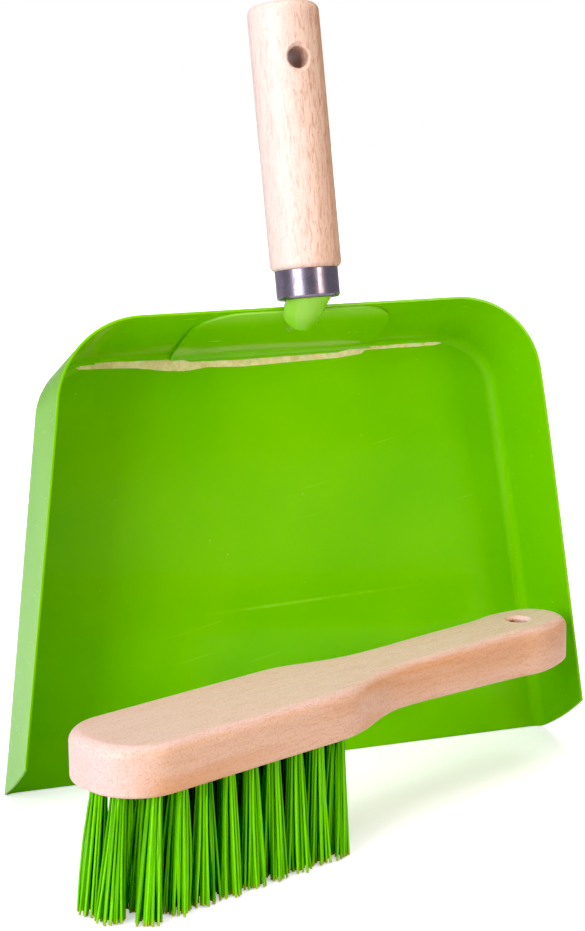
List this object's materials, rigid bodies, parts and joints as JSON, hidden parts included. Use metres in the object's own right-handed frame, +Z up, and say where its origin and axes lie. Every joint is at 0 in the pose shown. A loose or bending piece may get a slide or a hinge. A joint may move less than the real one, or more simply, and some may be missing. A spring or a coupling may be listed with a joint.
{
  "type": "dust pan and brush set",
  "caption": "Enamelled sheet-metal dust pan with a round wooden handle in a steel ferrule, and a wooden hand brush with bristle tufts standing in front of it.",
  "frame": {"origin": "middle of the floor under the whole set: the centre of the bounding box in X and Y, on the floor in Z", "axes": "+Z up, +X to the right across the pan as seen from its open side, +Y towards the back of the pan; the pan stands on its lip leaning back a few degrees and the brush stands on its bristles in front of it"},
  "size_m": [0.2174, 0.1451, 0.2785],
  "materials": {
    "green_enamel": "glossy baked enamel on sheet steel",
    "polished_steel": "polished, lightly scuffed",
    "handle_wood": "sanded pale wood, unvarnished",
    "block_wood": "sanded pinkish beech, unvarnished",
    "green_filament": "smooth synthetic filament",
    "anchor_wire": "flat wire"
  },
  "bodies": {
    "dustpan": {"pan_tray": "green_enamel", "handle_bracket": "green_enamel", "ferrule": "polished_steel", "pan_handle": "handle_wood"},
    "brush": {"brush_block": "block_wood", "tufts_rank_01": "green_filament", "tufts_rank_02": "green_filament", "tufts_rank_03": "green_filament", "tufts_rank_04": "green_filament", "tufts_rank_05": "green_filament", "tufts_rank_06": "green_filament", "tufts_rank_07": "green_filament", "tufts_rank_08": "green_filament", "tufts_rank_09": "green_filament", "tufts_rank_10": "green_filament", "anchors_rank_01": "anchor_wire", "anchors_rank_02": "anchor_wire", "anchors_rank_03": "anchor_wire", "anchors_rank_04": "anchor_wire", "anchors_rank_05": "anchor_wire", "anchors_rank_06": "anchor_wire", "anchors_rank_07": "anchor_wire", "anchors_rank_08": "anchor_wire", "anchors_rank_09": "anchor_wire", "anchors_rank_10": "anchor_wire"}
  },
  "joints": [
    {"name": "brush_lift", "type": "slide", "parent": "dustpan", "child": "brush", "axis": [0, -0.5, 0.866], "range_m": [0, 0.33]}
  ]
}
